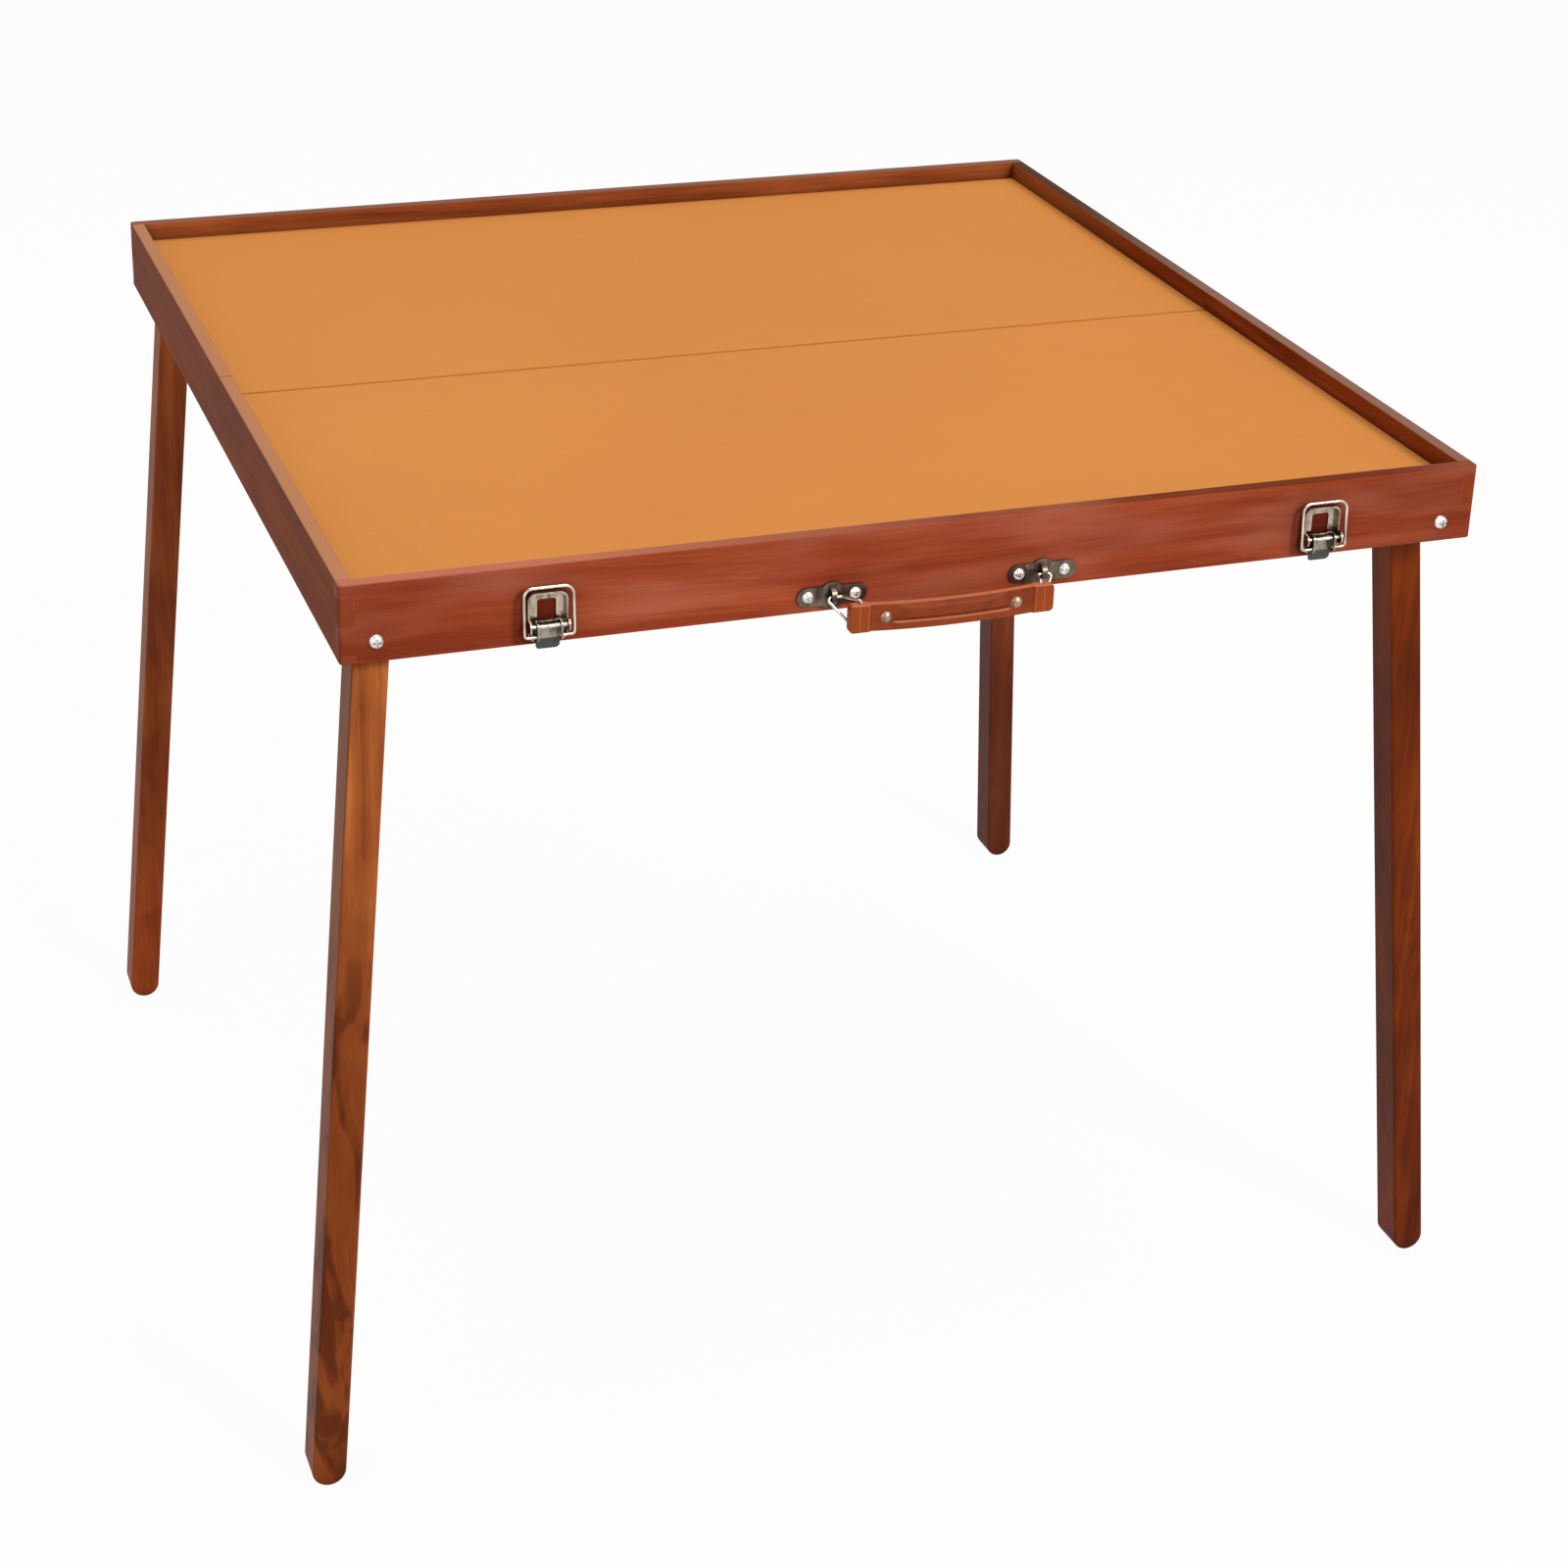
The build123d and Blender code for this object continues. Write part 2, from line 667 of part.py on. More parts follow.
def ring_shape(side, wire_radius):
    """A wire ring from the saddle to the loop in the handle's end, bent in two halves."""
    eye = side * bracket_offset
    base = side * ring_base - handle_side_shift
    near = Vector(eye - side * ring_run / 2, ring_axis_out, bracket_up)
    far = Vector(eye + side * ring_run / 2, ring_axis_out, bracket_up)
    high = Vector(base, handle_out, ring_half + handle_rise)
    low = Vector(base, handle_out, handle_rise - ring_half)
    middles = [(near + far) / 2, (high + low) / 2]
    halves = []
    for first, second in ((near, high), (far, low)):
        path = FilletPolyline(middles[0], first, second, middles[1], radius=ring_corner_radius)
        section = Plane(origin=path @ 0, z_dir=path % 0) * Circle(wire_radius)
        halves.append(sweep(section, path=path))
    return halves[0] + halves[1]


def handle_shape():
    """The strap with its folded ends and padded welt; it sags a little between its rings."""
    half = handle_length / 2
    loop_start = half - handle_loop_length
    low = -handle_width / 2
    high = handle_width / 2
    with BuildSketch(Plane.XZ) as outline:
        with BuildLine():
            top = ThreePointArc((-loop_start, high), (0, high - handle_sag), (loop_start, high))
            right = Polyline(top @ 1, (half, high), (half, low), (loop_start, low))
            bottom = ThreePointArc(right @ 1, (0, low - handle_sag), (-loop_start, low))
            Polyline(bottom @ 1, (-half, low), (-half, high), top @ 0)
        make_face()
        ends = [v for v in outline.vertices() if abs(v.X) > half - handle_loop_length / 2]
        fillet(ends, handle_corner_radius)
    strap = extrude(outline.sketch, amount=handle_thickness / 2, both=True)
    for side in (-1, 1):
        loop = RectangleRounded(handle_loop_length, handle_width, handle_corner_radius)
        loop = extrude(Plane.XZ * loop, amount=handle_loop_thickness / 2, both=True)
        rims = loop.edges().group_by(Axis.Y)
        loop = fillet(rims[0] + rims[-1], handle_edge_radius)
        strap += Pos(side * (half - handle_loop_length / 2), 0, 0) * loop
    welt_ends = welt_length / 2 - welt_width
    rise = handle_sag * (welt_ends / loop_start) ** 2
    centre = Pos(0, handle_thickness / 2, -handle_sag)
    path = ThreePointArc((-welt_ends, 0, rise), (0, 0, 0), (welt_ends, 0, rise))
    section = Plane(origin=path @ 0, z_dir=path % 0) * Ellipse(welt_height, welt_width / 2)
    welt = sweep(section, path=path)
    for spot in (path @ 0, path @ 1):
        welt += Pos(*spot) * scale(Sphere(welt_width / 2), (1, 2 * welt_height / welt_width, 1))
    handle = Pos(-handle_side_shift, handle_out, handle_rise) * (strap + centre * welt)
    for side in (-1, 1):
        handle -= ring_shape(side, ring_wire_radius + handle_ring_clearance)
    return handle


def rivet_shapes():
    """Two dome rivets at the ends of the welt."""
    ball = (rivet_radius**2 + rivet_height**2) / (2 * rivet_height)
    head = Pos(0, 0, rivet_height - ball) * Sphere(ball)
    head &= Pos(0, 0, rivet_height / 2) * Cylinder(rivet_radius, rivet_height)
    place = Rot(-90, 0, 0)
    up = handle_rise - handle_sag / 2
    out = handle_out + handle_thickness / 2
    spots = (-welt_length / 2, welt_length / 2)
    return [Pos(x - handle_side_shift, out, up) * place * head for x in spots]


def on_front(x):
    """Carries a latch or bracket to the front board, local Y outward."""
    return Pos(x, -half_depth, tray_bottom) * Rot(0, 0, 180)


def on_rear(x):
    """Carries a strike to the rear board, local Y outward."""
    return Pos(x, half_depth, tray_bottom)


# Assembly of the trays and their leg fixings
tray_legs = {"front": ("front_left", "front_right"), "rear": ("rear_right", "rear_left")}
for prefix, (outer_name, inner_name) in tray_legs.items():
    turn = rear_turn if prefix == "rear" else Pos(0, 0, 0)
    pieces = make_tray(outer_name, inner_name)
    first = 0 if prefix == "front" else 1
    leaves = []
    screws = []
    for place in hinge_places:
        leaf = place * leaf_shape(first)
        leaves.append(turn * leaf)
        screws += [turn * place * screw for screw in leaf_screws()]
        pieces["middle_rail"] -= place * rail_cut()
        for screw in leaf_screws():
            pieces["middle_rail"] -= place * screw
    if prefix == "front":
        for x in latch_places.values():
            for screw in pan_screws():
                pieces["apron"] -= on_front(x) * screw
        for x in (-bracket_offset, bracket_offset):
            for screw in bracket_screws():
                pieces["apron"] -= on_front(x) * Pos(0, 0, bracket_up) * screw
    else:
        for x in latch_places.values():
            for screw in strike_screws():
                pieces["apron"] -= rear_turn * on_rear(x) * screw
    for word, shape in pieces.items():
        if prefix == "rear" and word in ("left_side", "right_side"):
            word = "right_side" if word == "left_side" else "left_side"
        parts[f"{prefix}_{word}"] = turn * shape
    parts[f"{prefix}_hinge_leaves"] = group(leaves)
    parts[f"{prefix}_hinge_screws"] = group(screws)
    fixings = [leg_fixings(name) for name in (outer_name, inner_name)]
    parts[f"{prefix}_leg_bolts"] = group([turn * bolt for bolt, _, _ in fixings])
    parts[f"{prefix}_leg_washers"] = group([turn * one for _, pair, _ in fixings for one in pair])
    parts[f"{prefix}_leg_nuts"] = group([turn * nut for _, _, nut in fixings])

for name in leg_splay:
    parts[f"{name}_leg"] = leg_shape(name)
parts["hinge_pins"] = group([place * hinge_pin_shape() for place in hinge_places])

# Assembly of the latches, strikes and handle
for side, word in ((-1, "left"), (1, "right")):
    place = on_front(latch_places[word])
    parts[f"{word}_latch_base"] = place * pan_shape()
    parts[f"{word}_latch_pin"] = place * latch_pin_shape()
    parts[f"{word}_latch_lever"] = place * Pos(0, latch_axis_out, latch_axis_up) * lever_shape()
    eye = Pos(0, latch_eye_out, latch_eye_up) * Rot(bail_rest_lean, 0, 0)
    parts[f"{word}_latch_bail"] = place * eye * bail_shape()
    parts[f"{word}_latch_strike"] = on_rear(latch_places[word]) * strike_shape()
    bracket = on_front(side * bracket_offset) * Pos(0, 0, bracket_up)
    parts[f"{word}_handle_bracket"] = bracket * bracket_shape()
    parts[f"{word}_handle_ring"] = on_front(0) * ring_shape(-side, ring_wire_radius)
latch_spots = latch_places.values()
bracket_spots = (-bracket_offset, bracket_offset)
parts["latch_base_screws"] = group([on_front(x) * s for x in latch_spots for s in pan_screws()])
parts["latch_strike_screws"] = group([on_rear(x) * s for x in latch_spots for s in strike_screws()])
parts["handle_bracket_screws"] = group(
    [on_front(x) * Pos(0, 0, bracket_up) * s for x in bracket_spots for s in bracket_screws()]
)
parts["leather_handle"] = on_front(0) * handle_shape()
parts["handle_rivets"] = group([on_front(0) * rivet for rivet in rivet_shapes()])

# The origin lies on the floor, under the middle of the table's box
whole = group(parts.values()).bounding_box()
origin_shift = Pos(-(whole.min.X + whole.max.X) / 2, -(whole.min.Y + whole.max.Y) / 2, -whole.min.Z)
for name, shape in parts.items():
    export_step(origin_shift * shape, f"parts/{name}.step")
print(len(parts), "nodes, box", whole.size)
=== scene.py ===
"""Folding card table: looks, light and camera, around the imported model. Lengths are in metres."""
from math import cos, pi, radians, sin, sqrt

import bmesh
import bpy
from mathutils import Matrix, Vector, noise


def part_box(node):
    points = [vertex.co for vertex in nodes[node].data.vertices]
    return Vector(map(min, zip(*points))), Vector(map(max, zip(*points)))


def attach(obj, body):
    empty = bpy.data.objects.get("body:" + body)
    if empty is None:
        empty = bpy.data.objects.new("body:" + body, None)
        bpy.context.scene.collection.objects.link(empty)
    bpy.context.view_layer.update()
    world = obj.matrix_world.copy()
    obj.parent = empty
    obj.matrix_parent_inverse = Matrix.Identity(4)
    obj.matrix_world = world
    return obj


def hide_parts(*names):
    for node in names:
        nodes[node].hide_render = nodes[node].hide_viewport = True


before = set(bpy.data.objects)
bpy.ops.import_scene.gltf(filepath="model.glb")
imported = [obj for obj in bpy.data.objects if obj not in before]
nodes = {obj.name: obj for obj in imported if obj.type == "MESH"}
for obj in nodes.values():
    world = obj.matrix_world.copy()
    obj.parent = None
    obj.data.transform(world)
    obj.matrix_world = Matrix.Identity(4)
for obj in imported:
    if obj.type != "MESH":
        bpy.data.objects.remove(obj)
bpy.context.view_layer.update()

# The view: a standing person looks down on the table from its front left corner.
# The lens is given in pixels of the 1600-pixel square picture.
picture_size = 1600
sensor_width = 36.0
lens_pixels = 3299.357
centre_pixel = (749.909, 660.364)
azimuth, elevation, roll = -0.337422, 0.421061, 0.026075
camera_place = Vector((-0.843507, -2.361435, 1.585668))

backward = Vector((sin(azimuth) * cos(elevation), -cos(azimuth) * cos(elevation), sin(elevation)))
level_right = (-backward).cross(Vector((0, 0, 1))).normalized()
level_up = level_right.cross(-backward)
right = cos(roll) * level_right + sin(roll) * level_up
up = -sin(roll) * level_right + cos(roll) * level_up
camera = bpy.data.objects.new("camera", bpy.data.cameras.new("camera"))
bpy.context.scene.collection.objects.link(camera)
camera.matrix_world = Matrix.Translation(camera_place) @ Matrix((right, up, backward)).transposed().to_4x4()
camera.data.sensor_width = sensor_width
camera.data.lens = lens_pixels / picture_size * sensor_width
camera.data.shift_x = (picture_size / 2 - centre_pixel[0]) / picture_size
camera.data.shift_y = (centre_pixel[1] - picture_size / 2) / picture_size
camera.data.clip_end = 50
bpy.context.scene.camera = camera
bpy.context.scene.view_settings.view_transform = "Standard"


# The room: a pale floor and a white surround, lit by three wide soft lamps and the surround itself.
# The floor looks white to the camera and in reflections, and keeps a faint shadow.
def colour(hex_code):
    """A colour written as on screen, in the linear values that the shaders take."""
    parts = [int(hex_code[i : i + 2], 16) / 255 for i in (0, 2, 4)]
    linear = [v / 12.92 if v <= 0.04045 else ((v + 0.055) / 1.055) ** 2.4 for v in parts]
    return (*linear, 1.0)


def new_material(name):
    """A material whose nodes are its Principled shader and its output."""
    material = bpy.data.materials.new(name)
    material.use_nodes = True
    tree = material.node_tree
    return material, tree, tree.nodes["Principled BSDF"]


def white_to_the_eye(tree):
    """A value of 1 where a ray comes from the camera, or through a reflection or glass."""
    path = tree.nodes.new("ShaderNodeLightPath")
    last = path.outputs["Is Camera Ray"]
    for name in ("Is Glossy Ray", "Is Transmission Ray"):
        widest = tree.nodes.new("ShaderNodeMath")
        widest.operation = "MAXIMUM"
        tree.links.new(last, widest.inputs[0])
        tree.links.new(path.outputs[name], widest.inputs[1])
        last = widest.outputs[0]
    return last


world = bpy.data.worlds.new("surround")
bpy.context.scene.world = world
world.use_nodes = True
world_tree = world.node_tree
seen = world_tree.nodes["Background"]
seen.inputs["Color"].default_value = (1, 1, 1, 1)
seen.inputs["Strength"].default_value = 1.0
ambient = world_tree.nodes.new("ShaderNodeBackground")
ambient.inputs["Color"].default_value = colour("F4F6FA")
ambient.inputs["Strength"].default_value = 0.42
world_mix = world_tree.nodes.new("ShaderNodeMixShader")
world_tree.links.new(white_to_the_eye(world_tree), world_mix.inputs[0])
world_tree.links.new(ambient.outputs[0], world_mix.inputs[1])
world_tree.links.new(seen.outputs[0], world_mix.inputs[2])
world_tree.links.new(world_mix.outputs[0], world_tree.nodes["World Output"].inputs["Surface"])

floor_half = 14.0
floor_mesh = bpy.data.meshes.new("floor")
corners = [(x * floor_half, y * floor_half, 0) for x, y in ((-1, -1), (1, -1), (1, 1), (-1, 1))]
floor_mesh.from_pydata(corners, [], [(0, 1, 2, 3)])
floor = bpy.data.objects.new("floor", floor_mesh)
bpy.context.scene.collection.objects.link(floor)
floor_paint, floor_tree, floor_shader = new_material("floor")
floor_shader.inputs["Base Color"].default_value = colour("EDEBE8")
floor_shader.inputs["Roughness"].default_value = 0.9
floor_glow = floor_tree.nodes.new("ShaderNodeEmission")
floor_glow.inputs["Strength"].default_value = 1.0
floor_share = floor_tree.nodes.new("ShaderNodeMath")
floor_share.operation = "MULTIPLY"
floor_share.inputs[1].default_value = 0.95
floor_tree.links.new(white_to_the_eye(floor_tree), floor_share.inputs[0])
floor_mix = floor_tree.nodes.new("ShaderNodeMixShader")
floor_tree.links.new(floor_share.outputs[0], floor_mix.inputs[0])
floor_tree.links.new(floor_shader.outputs[0], floor_mix.inputs[1])
floor_tree.links.new(floor_glow.outputs[0], floor_mix.inputs[2])
floor_tree.links.new(floor_mix.outputs[0], floor_tree.nodes["Material Output"].inputs["Surface"])
floor_mesh.materials.append(floor_paint)

# name, place, point that it faces, width, height, power in watts, colour
lamps = [
    ("key_lamp", (2.0, -4.6, 3.9), (0.0, 0.0, 0.6), 1.4, 1.4, 212, "FFF6EC"),
    ("fill_lamp", (-3.2, -1.8, 1.9), (0.0, 0.0, 0.4), 2.2, 2.2, 15, "FFF6EC"),
    ("top_lamp", (0.0, 0.4, 3.6), (0.0, 0.0, 0.7), 2.6, 2.6, 52, "FFFFFF"),
]
for lamp_name, place, target, width, height, power, light_tone in lamps:
    light = bpy.data.lights.new(lamp_name, "AREA")
    light.shape = "RECTANGLE"
    light.size, light.size_y = width, height
    light.energy = power
    light.color = colour(light_tone)[:3]
    lamp = bpy.data.objects.new(lamp_name, light)
    bpy.context.scene.collection.objects.link(lamp)
    lamp.location = place
    lamp.rotation_euler = (Vector(target) - Vector(place)).to_track_quat("-Z", "Y").to_euler()


# The boards of both trays: aprons, side boards, middle rails and leg spacers.
# Solid softwood, finger-jointed at the corners, stained red-brown and varnished.
def dress(material, *names):
    """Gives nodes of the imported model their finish."""
    for name in names:
        mesh = nodes[name].data
        mesh.materials.clear()
        mesh.materials.append(material)


class Group:
    """A shader node group under construction, with named sockets."""

    def __init__(self, name, inputs, outputs):
        self.tree = bpy.data.node_groups.new(name, "ShaderNodeTree")
        for label, kind, value in inputs:
            socket = self.tree.interface.new_socket(name=label, in_out="INPUT", socket_type=kind)
            if value is not None:
                socket.default_value = value
        for label, kind in outputs:
            self.tree.interface.new_socket(name=label, in_out="OUTPUT", socket_type=kind)
        self.source = self.tree.nodes.new("NodeGroupInput")
        self.sink = self.tree.nodes.new("NodeGroupOutput")

    def given(self, label):
        return self.source.outputs[label]

    def give(self, value, label):
        self.tree.links.new(value, self.sink.inputs[label])


def add(tree, kind, settings=None, **inputs):
    """A node with its settings and its inputs: plain values are set and sockets are linked."""
    node = tree.nodes.new(kind)
    for key, value in (settings or {}).items():
        setattr(node, key, value)
    for key, value in inputs.items():
        socket = node.inputs[key.replace("_", " ")]
        if isinstance(value, bpy.types.NodeSocket):
            tree.links.new(value, socket)
        else:
            socket.default_value = value
    return node


def math(tree, operation, first, second=0.0, third=None):
    """The result of one sum on sockets or numbers."""
    node = tree.nodes.new("ShaderNodeMath")
    node.operation = operation
    for socket, value in zip(node.inputs, (first, second, third)):
        if isinstance(value, bpy.types.NodeSocket):
            tree.links.new(value, socket)
        elif value is not None:
            socket.default_value = value
    return node.outputs[0]


def span(tree, value, low, high, start=0.0, end=1.0):
    """A value between low and high, carried to the span from start to end and held there."""
    node = add(tree, "ShaderNodeMapRange", From_Min=low, From_Max=high, To_Min=start, To_Max=end)
    tree.links.new(value, node.inputs["Value"])
    return node.outputs[0]


def blend(tree, share, first, second, mode="MIX"):
    """Two colours mixed by a share."""
    node = tree.nodes.new("ShaderNodeMix")
    node.data_type = "RGBA"
    node.blend_type = mode
    for index, value in ((0, share), (6, first), (7, second)):
        if isinstance(value, bpy.types.NodeSocket):
            tree.links.new(value, node.inputs[index])
        else:
            node.inputs[index].default_value = value
    return node.outputs[2]


def tint(tree, shade, mask, share, tone):
    """A shade that turns to a tone where the mask says so, by a share."""
    return blend(tree, math(tree, "MULTIPLY", mask, share), shade, colour(tone))


# Wood grain runs along the first axis of its Along vector; the sizes are in metres.
grain = Group(
    "wood grain",
    [("Along", "NodeSocketVector", None), ("Light", "NodeSocketColor", None),
     ("Middle", "NodeSocketColor", None), ("Dark", "NodeSocketColor", None),
     ("Streak", "NodeSocketFloat", 0.5), ("Blotch", "NodeSocketFloat", 0.3)],
    [("Color", "NodeSocketColor"), ("Height", "NodeSocketFloat"), ("Roughness", "NodeSocketFloat")],
)
tree = grain.tree
bend = add(tree, "ShaderNodeTexNoise", Vector=grain.given("Along"), Scale=3.0, Detail=2.0)
wander = add(tree, "ShaderNodeVectorMath", {"operation": "SCALE"}, Scale=0.02)
tree.links.new(bend.outputs["Color"], wander.inputs[0])
bent = add(tree, "ShaderNodeVectorMath", {"operation": "ADD"})
tree.links.new(grain.given("Along"), bent.inputs[0])
tree.links.new(wander.outputs[0], bent.inputs[1])
broad_place = add(tree, "ShaderNodeMapping", Vector=bent.outputs[0], Scale=(2.4, 85.0, 85.0))
broad = add(tree, "ShaderNodeTexNoise", Vector=broad_place.outputs[0], Scale=1.0, Detail=4.0, Roughness=0.55)
fibre_place = add(tree, "ShaderNodeMapping", Vector=bent.outputs[0], Scale=(14.0, 620.0, 620.0))
fibre = add(tree, "ShaderNodeTexNoise", Vector=fibre_place.outputs[0], Scale=1.0, Detail=3.0, Roughness=0.6)
patch_place = add(tree, "ShaderNodeMapping", Vector=grain.given("Along"), Scale=(9.0, 22.0, 22.0))
patch = add(tree, "ShaderNodeTexNoise", Vector=patch_place.outputs[0], Scale=1.0, Detail=2.0, Roughness=0.5)
pores_place = add(tree, "ShaderNodeMapping", Vector=bent.outputs[0], Scale=(60.0, 1500.0, 1500.0))
pores = add(tree, "ShaderNodeTexNoise", Vector=pores_place.outputs[0], Scale=1.0, Detail=1.0)
streak_value = math(tree, "MULTIPLY_ADD", math(tree, "SUBTRACT", broad.outputs["Fac"], 0.5), 1.9, 0.5)
fibre_value = math(tree, "MULTIPLY", math(tree, "SUBTRACT", fibre.outputs["Fac"], 0.5), 0.8)
tone = math(tree, "ADD", streak_value, fibre_value)
tone = math(tree, "MULTIPLY_ADD", math(tree, "SUBTRACT", tone, 0.5), grain.given("Streak"), 0.5)
patch_value = math(tree, "SUBTRACT", patch.outputs["Fac"], 0.5)
tone = math(tree, "MULTIPLY_ADD", patch_value, grain.given("Blotch"), tone)
low = blend(tree, span(tree, tone, 0.0, 0.5), grain.given("Dark"), grain.given("Middle"))
whole = blend(tree, span(tree, tone, 0.5, 1.0), low, grain.given("Light"))
pore_mask = math(tree, "LESS_THAN", pores.outputs["Fac"], 0.36)
whole = blend(tree, math(tree, "MULTIPLY", pore_mask, 0.16), whole, grain.given("Dark"))
grain.give(whole, "Color")
height = math(tree, "MULTIPLY_ADD", fibre.outputs["Fac"], 0.6, math(tree, "MULTIPLY", pore_mask, -0.5))
grain.give(height, "Height")
grain.give(math(tree, "MULTIPLY_ADD", broad.outputs["Fac"], 0.25, 0.34), "Roughness")

# Rubbed edges: where a rounded copy of the surface normal leaves the true one, the piece has an edge.
edge = Group("rubbed edges", [("Radius", "NodeSocketFloat", 0.001)], [("Mask", "NodeSocketFloat")])
tree = edge.tree
rounded = tree.nodes.new("ShaderNodeBevel")
rounded.samples = 4
tree.links.new(edge.given("Radius"), rounded.inputs["Radius"])
true_normal = tree.nodes.new("ShaderNodeNewGeometry")
facing = add(tree, "ShaderNodeVectorMath", {"operation": "DOT_PRODUCT"})
tree.links.new(rounded.outputs[0], facing.inputs[0])
tree.links.new(true_normal.outputs["Normal"], facing.inputs[1])
sharp = span(tree, facing.outputs["Value"], 0.995, 0.86)
breaks = add(tree, "ShaderNodeTexNoise", Scale=140.0, Detail=3.0)
coordinates = tree.nodes.new("ShaderNodeTexCoord")
tree.links.new(coordinates.outputs["Object"], breaks.inputs["Vector"])
broken = math(tree, "MULTIPLY_ADD", breaks.outputs["Fac"], 1.6, -0.25)
edge.give(math(tree, "MULTIPLY", sharp, broken), "Mask")

# Painted corner shade: dark where faces meet closely, in corners and under fittings, where shade falls.
corner_shade = Group("painted corner shade", [("Reach", "NodeSocketFloat", 0.012)], [("Mask", "NodeSocketFloat")])
tree = corner_shade.tree
closeness = tree.nodes.new("ShaderNodeAmbientOcclusion")
closeness.samples = 4
tree.links.new(corner_shade.given("Reach"), closeness.inputs["Distance"])
corner_shade.give(span(tree, closeness.outputs["AO"], 0.9, 0.25), "Mask")


def use(tree, group, **inputs):
    """Places a node group in a material."""
    node = tree.nodes.new("ShaderNodeGroup")
    node.node_tree = group.tree
    for key, value in inputs.items():
        if isinstance(value, bpy.types.NodeSocket):
            tree.links.new(value, node.inputs[key])
        else:
            node.inputs[key].default_value = value
    return node


def turned(tree, shade, where, changes):
    """A shade whose tone turns along the piece. A change is an axis, two places, a share and a tone."""
    for axis, start, stop, share, tone in changes:
        shade = tint(tree, shade, span(tree, where.outputs[axis], start, stop), share, tone)
    return shade


def stained_wood(name, turn, tones, streak, blotch, shift, end_axis, end_tone, sheen, top=None, changes=()):
    """Stained and varnished wood whose grain runs along X after the turn.

    The top is a painted highlight and painted shade for the upper faces: their tone and its own changes.
    Besides the material it gives what a piece needs to be toned further: the tree, the shader, the shade
    so far, and where a point lies and faces on the piece.
    """
    light, middle, dark = (colour(tone) for tone in tones)
    material, tree, shader = new_material(name)
    place = tree.nodes.new("ShaderNodeTexCoord")
    along = add(tree, "ShaderNodeMapping", Vector=place.outputs["Object"], Rotation=turn, Location=shift)
    wood = use(tree, grain, Along=along.outputs[0], Light=light, Middle=middle, Dark=dark, Streak=streak,
               Blotch=blotch)
    end = add(tree, "ShaderNodeVectorMath", {"operation": "DOT_PRODUCT"})
    tree.links.new(place.outputs["Normal"], end.inputs[0])
    end.inputs[1].default_value = end_axis
    end_mask = math(tree, "GREATER_THAN", math(tree, "ABSOLUTE", end.outputs["Value"]), 0.8)
    where = add(tree, "ShaderNodeSeparateXYZ", Vector=place.outputs["Object"])
    faces = add(tree, "ShaderNodeSeparateXYZ", Vector=place.outputs["Normal"])
    shade = turned(tree, wood.outputs["Color"], where, changes)
    shade = tint(tree, shade, end_mask, 0.7, end_tone)
    # The upper faces take the top tone: a painted highlight and painted shade for how light falls on them.
    if top:
        top_light_tone, top_light_changes = top
        upper = turned(tree, colour(top_light_tone), where, top_light_changes)
        upward = span(tree, faces.outputs["Z"], 0.35, 0.95)
        shade = blend(tree, math(tree, "MULTIPLY", upward, 0.85), shade, upper)
    rubbed = use(tree, edge, Radius=0.0014)
    shade = blend(tree, math(tree, "MULTIPLY", rubbed.outputs["Mask"], 0.45), shade, light)
    # Painted shade darkens the wood where faces meet closely and under the fittings.
    painted_shade = use(tree, corner_shade, Reach=0.013)
    shade = tint(tree, shade, painted_shade.outputs["Mask"], 0.75, "2E0A06")
    tree.links.new(shade, shader.inputs["Base Color"])
    tree.links.new(wood.outputs["Roughness"], shader.inputs["Roughness"])
    bump = add(tree, "ShaderNodeBump", Strength=0.25, Distance=0.0003, Height=wood.outputs["Height"])
    tree.links.new(bump.outputs[0], shader.inputs["Normal"])
    shader.inputs["Specular IOR Level"].default_value = sheen
    return material, tree, shader, shade, where, faces


quarter = radians(90)
board_tones = ("B05836", "913F25", "6C2816")
rear_tones = ("B26236", "8E4C26", "6A2C12")
left_tones = ("96512F", "7A3F29", "572618")
right_tones = ("9C4C24", "78320E", "4C1A06")
along_x, along_y, along_z = (0, 0, 0), (0, 0, quarter), (0, quarter, 0)
end_stain, side_end_stain = "6E3226", "8A3C24"
front_shift, rear_shift, rail_shift = (0.0, 0.0, 0.0), (3.1, 1.7, 0.4), (1.3, 4.1, 0.9)
# The front rim's upper faces: a painted highlight at the left end that turns to painted shade towards the
# right.
front_top_light = ("B77157", (("X", -0.30, 0.02, 1.0, "5E2200"),))
front_changes = (("X", 0.15, 0.42, 0.5, "5A1E12"), ("X", -0.24, -0.38, 0.4, "6E2812"))
front_wood = stained_wood("front apron wood", along_x, board_tones, 0.65, 0.6, front_shift, (1, 0, 0),
                          end_stain, 0.02, front_top_light, front_changes)
# The rear apron's upper faces take a dull dark tone, painted shade for how light falls on them.
rear_wood = stained_wood("rear apron wood", along_x, rear_tones, 0.8, 0.6, rear_shift, (1, 0, 0),
                         end_stain, 0.08, ("6E4030", ()))
rail_wood = stained_wood("rail wood", along_x, rear_tones, 0.8, 0.6, rail_shift, (1, 0, 0), end_stain, 0.05)
# side, tones, sheen, painted light and shade of the upper edge and how it turns, how the faces turn
side_looks = (("left", left_tones, 0.005, ("B47E5A", ()), ()),
              ("right", right_tones, 0.02, ("80604E", (("Y", 0.0, 0.30, 1.0, "2C140C"),)),
               (("Y", 0.12, 0.34, 0.5, "A2622F"),)))
for tray, shift, apron_wood in (("front", front_shift, front_wood), ("rear", rear_shift, rear_wood)):
    dress(apron_wood[0], f"{tray}_apron")
    dress(rail_wood[0], f"{tray}_middle_rail", f"{tray}_leg_spacer")
    for side, tones, sheen, top, changes in side_looks:
        side_wood = stained_wood(f"{tray} {side} side wood", along_y, tones, 0.7, 0.4, shift, (0, 1, 0),
                                 side_end_stain, sheen, top, changes)
        dress(side_wood[0], f"{tray}_{side}_side")
